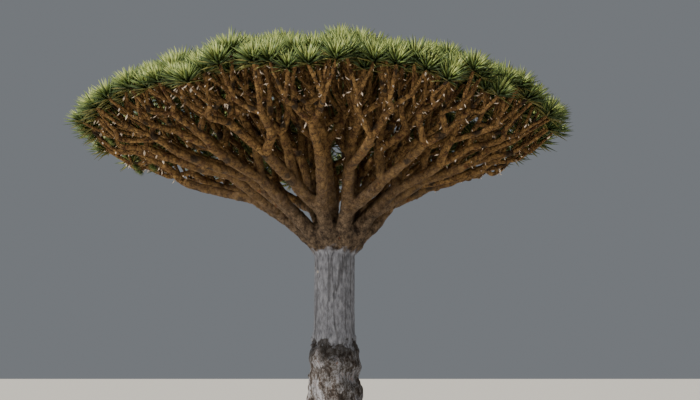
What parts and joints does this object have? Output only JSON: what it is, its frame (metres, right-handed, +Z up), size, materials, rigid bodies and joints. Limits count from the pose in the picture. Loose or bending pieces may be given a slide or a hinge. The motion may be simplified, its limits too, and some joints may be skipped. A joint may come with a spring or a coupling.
{
  "type": "dragon blood tree",
  "caption": "Umbrella-shaped dragon blood tree: a bare trunk opens into a funnel of forking boughs under one dense dome of sword-leaf rosettes.",
  "frame": {"origin": "centre of the flat cut under the trunk, at ground level", "axes": "+Z up along the trunk; the picture's camera stands on the -Y side, looking along +Y, with +X to its right"},
  "size_m": [7.0624, 7.1985, 5.9642],
  "materials": {
    "trunk_bark": "dry grey bark, cracked lengthways, scarred and rusty low down",
    "bough_bark": "ochre brown bark, dull and finely cracked",
    "leaf_rosettes": "stiff waxy leaves, grey-green to yellow-green, on ochre twigs"
  },
  "bodies": {
    "root": {"bough_01": "bough_bark", "bough_01_a": "bough_bark", "bough_01_b": "bough_bark", "bough_02": "bough_bark", "bough_02_a": "bough_bark", "bough_02_b": "bough_bark", "bough_03": "bough_bark", "bough_03_a": "bough_bark", "bough_03_b": "bough_bark", "bough_04": "bough_bark", "bough_04_a": "bough_bark", "bough_04_b": "bough_bark", "bough_05": "bough_bark", "bough_05_a": "bough_bark", "bough_05_b": "bough_bark", "bough_06": "bough_bark", "bough_06_a": "bough_bark", "bough_06_b": "bough_bark", "bough_07": "bough_bark", "bough_07_a": "bough_bark", "bough_07_b": "bough_bark", "bough_08": "bough_bark", "bough_08_a": "bough_bark", "bough_08_b": "bough_bark", "bough_09": "bough_bark", "bough_09_a": "bough_bark", "bough_09_b": "bough_bark", "bough_10": "bough_bark", "bough_11": "bough_bark", "bough_12": "bough_bark", "bough_13": "bough_bark", "bough_14": "bough_bark", "foliage_01_a": "leaf_rosettes", "foliage_01_b": "leaf_rosettes", "foliage_02_a": "leaf_rosettes", "foliage_02_b": "leaf_rosettes", "foliage_03_a": "leaf_rosettes", "foliage_03_b": "leaf_rosettes", "foliage_04_a": "leaf_rosettes", "foliage_04_b": "leaf_rosettes", "foliage_05_a": "leaf_rosettes", "foliage_05_b": "leaf_rosettes", "foliage_06_a": "leaf_rosettes", "foliage_06_b": "leaf_rosettes", "foliage_07_a": "leaf_rosettes", "foliage_07_b": "leaf_rosettes", "foliage_08_a": "leaf_rosettes", "foliage_08_b": "leaf_rosettes", "foliage_09_a": "leaf_rosettes", "foliage_09_b": "leaf_rosettes", "foliage_10": "leaf_rosettes", "foliage_11": "leaf_rosettes", "foliage_12": "leaf_rosettes", "foliage_13": "leaf_rosettes", "foliage_14": "leaf_rosettes", "trunk": "trunk_bark"}
  },
  "joints": []
}
